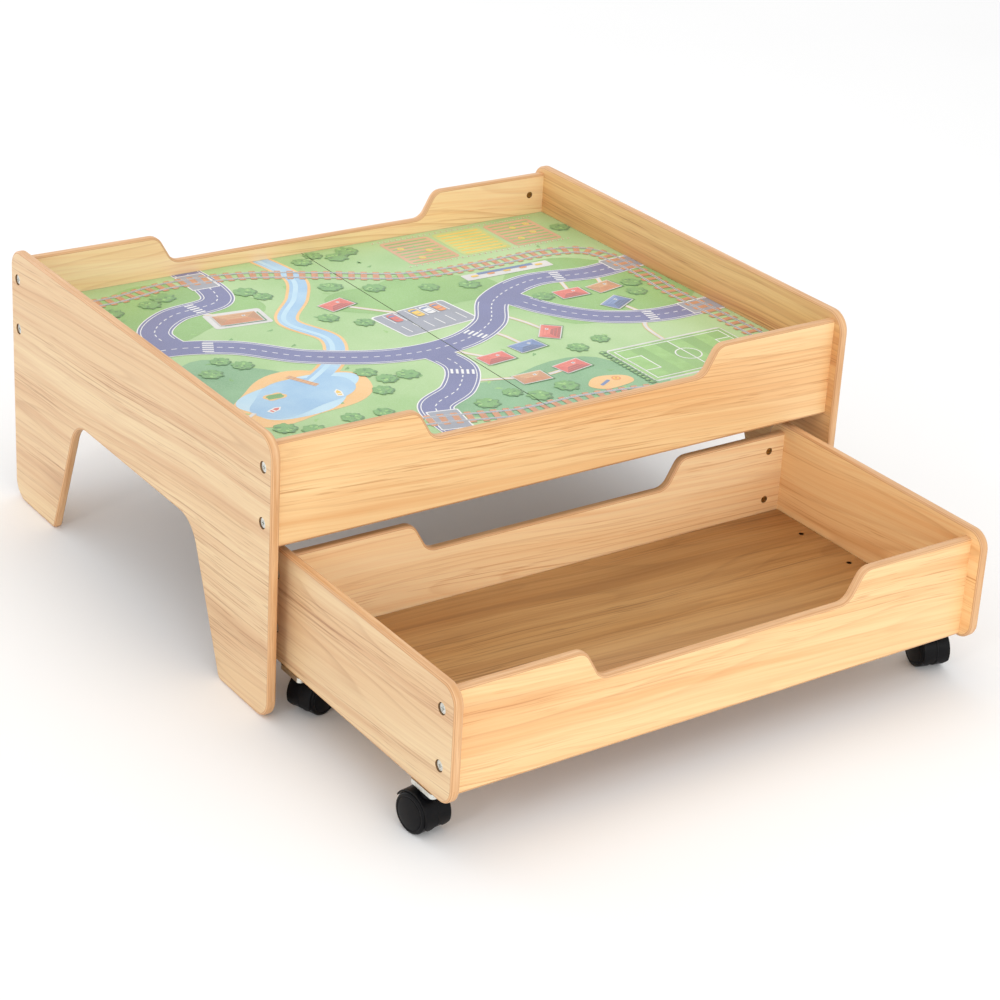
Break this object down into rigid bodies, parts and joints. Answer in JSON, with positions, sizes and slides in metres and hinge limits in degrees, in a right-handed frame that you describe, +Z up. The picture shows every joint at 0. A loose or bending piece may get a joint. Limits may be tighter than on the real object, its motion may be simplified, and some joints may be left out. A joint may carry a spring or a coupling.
{
  "type": "childrens play table",
  "caption": "Low wood-laminate play table for children with a printed map top in a sunken tray and a rolling drawer on swivel casters underneath",
  "frame": {"origin": "on the floor under the middle of the whole object in the pose of the picture", "axes": "+X to the right along the table's length, +Y from the open drawer to the back, +Z up"},
  "size_m": [0.88, 1.073, 0.373],
  "materials": {
    "panel_laminate": "pale maple wood-grain laminate, satin",
    "play_surface": "semi-gloss printed map laminate on board",
    "solid_wood": "plain planed softwood",
    "floor_board": "brown wood-tone board",
    "zinc_steel": "bright zinc plating",
    "brass_nuts": "dull yellow plated",
    "black_plastic": "black moulded nylon, satin"
  },
  "bodies": {
    "table": {"left_end_panel": "panel_laminate", "right_end_panel": "panel_laminate", "front_rail": "panel_laminate", "back_rail": "panel_laminate", "play_board_left": "play_surface", "play_board_right": "play_surface", "centre_support": "solid_wood", "front_cleat": "solid_wood", "back_cleat": "solid_wood", "left_cleat": "solid_wood", "right_cleat": "solid_wood", "cleat_screws": "zinc_steel", "table_bolts_left": "zinc_steel", "table_bolts_right": "zinc_steel", "table_barrel_nuts_front": "brass_nuts", "table_barrel_nuts_back": "brass_nuts", "table_dowels": "solid_wood"},
    "drawer": {"drawer_left_panel": "panel_laminate", "drawer_right_panel": "panel_laminate", "drawer_front_panel": "panel_laminate", "drawer_back_panel": "panel_laminate", "drawer_floor": "floor_board", "caster_batten_left": "solid_wood", "caster_batten_right": "solid_wood", "floor_screws": "zinc_steel", "drawer_bolts_left": "zinc_steel", "drawer_bolts_right": "zinc_steel", "drawer_barrel_nuts_front": "brass_nuts", "drawer_barrel_nuts_back": "brass_nuts", "drawer_dowels": "solid_wood", "caster_screws": "zinc_steel", "front_left_caster_plate": "zinc_steel", "front_left_kingpin": "zinc_steel", "front_right_caster_plate": "zinc_steel", "front_right_kingpin": "zinc_steel", "back_left_caster_plate": "zinc_steel", "back_left_kingpin": "zinc_steel", "back_right_caster_plate": "zinc_steel", "back_right_kingpin": "zinc_steel"},
    "front_left_swivel": {"front_left_hood": "black_plastic", "front_left_axle": "zinc_steel"},
    "front_left_outer_wheel": {"front_left_wheel_outer": "black_plastic"},
    "front_left_inner_wheel": {"front_left_wheel_inner": "black_plastic"},
    "front_right_swivel": {"front_right_hood": "black_plastic", "front_right_axle": "zinc_steel"},
    "front_right_outer_wheel": {"front_right_wheel_outer": "black_plastic"},
    "front_right_inner_wheel": {"front_right_wheel_inner": "black_plastic"},
    "back_left_swivel": {"back_left_hood": "black_plastic", "back_left_axle": "zinc_steel"},
    "back_left_outer_wheel": {"back_left_wheel_outer": "black_plastic"},
    "back_left_inner_wheel": {"back_left_wheel_inner": "black_plastic"},
    "back_right_swivel": {"back_right_hood": "black_plastic", "back_right_axle": "zinc_steel"},
    "back_right_outer_wheel": {"back_right_wheel_outer": "black_plastic"},
    "back_right_inner_wheel": {"back_right_wheel_inner": "black_plastic"}
  },
  "joints": [
    {"name": "drawer_slide", "type": "slide", "parent": "table", "child": "drawer", "axis": [0.0396, 0.9992, 0], "range_m": [-0.12, 0.35327]},
    {"name": "front_left_swivel", "type": "hinge", "parent": "drawer", "child": "front_left_swivel", "pos_m": [-0.3975, -0.4765, 0.045], "axis": [0, 0, 1], "continuous": true},
    {"name": "front_left_outer_wheel_spin", "type": "hinge", "parent": "front_left_swivel", "child": "front_left_outer_wheel", "pos_m": [-0.39917, -0.46462, 0.025], "axis": [0.9903, 0.1392, 0], "continuous": true},
    {"name": "front_left_inner_wheel_spin", "type": "hinge", "parent": "front_left_swivel", "child": "front_left_inner_wheel", "pos_m": [-0.39917, -0.46462, 0.025], "axis": [0.9903, 0.1392, 0], "continuous": true},
    {"name": "front_right_swivel", "type": "hinge", "parent": "drawer", "child": "front_right_swivel", "pos_m": [0.3695, -0.4765, 0.045], "axis": [0, 0, 1], "continuous": true},
    {"name": "front_right_outer_wheel_spin", "type": "hinge", "parent": "front_right_swivel", "child": "front_right_outer_wheel", "pos_m": [0.3724, -0.46486, 0.025], "axis": [0.9703, -0.2419, 0], "continuous": true},
    {"name": "front_right_inner_wheel_spin", "type": "hinge", "parent": "front_right_swivel", "child": "front_right_inner_wheel", "pos_m": [0.3724, -0.46486, 0.025], "axis": [0.9703, -0.2419, 0], "continuous": true},
    {"name": "back_left_swivel", "type": "hinge", "parent": "drawer", "child": "back_left_swivel", "pos_m": [-0.386, -0.1835, 0.045], "axis": [0, 0, 1], "continuous": true},
    {"name": "back_left_outer_wheel_spin", "type": "hinge", "parent": "back_left_swivel", "child": "back_left_outer_wheel", "pos_m": [-0.37459, -0.17979, 0.025], "axis": [0.309, -0.9511, 0], "continuous": true},
    {"name": "back_left_inner_wheel_spin", "type": "hinge", "parent": "back_left_swivel", "child": "back_left_inner_wheel", "pos_m": [-0.37459, -0.17979, 0.025], "axis": [0.309, -0.9511, 0], "continuous": true},
    {"name": "back_right_swivel", "type": "hinge", "parent": "drawer", "child": "back_right_swivel", "pos_m": [0.358, -0.1835, 0.045], "axis": [0, 0, 1], "continuous": true},
    {"name": "back_right_outer_wheel_spin", "type": "hinge", "parent": "back_right_swivel", "child": "back_right_outer_wheel", "pos_m": [0.35312, -0.17254, 0.025], "axis": [0.9135, 0.4067, 0], "continuous": true},
    {"name": "back_right_inner_wheel_spin", "type": "hinge", "parent": "back_right_swivel", "child": "back_right_inner_wheel", "pos_m": [0.35312, -0.17254, 0.025], "axis": [0.9135, 0.4067, 0], "continuous": true}
  ]
}
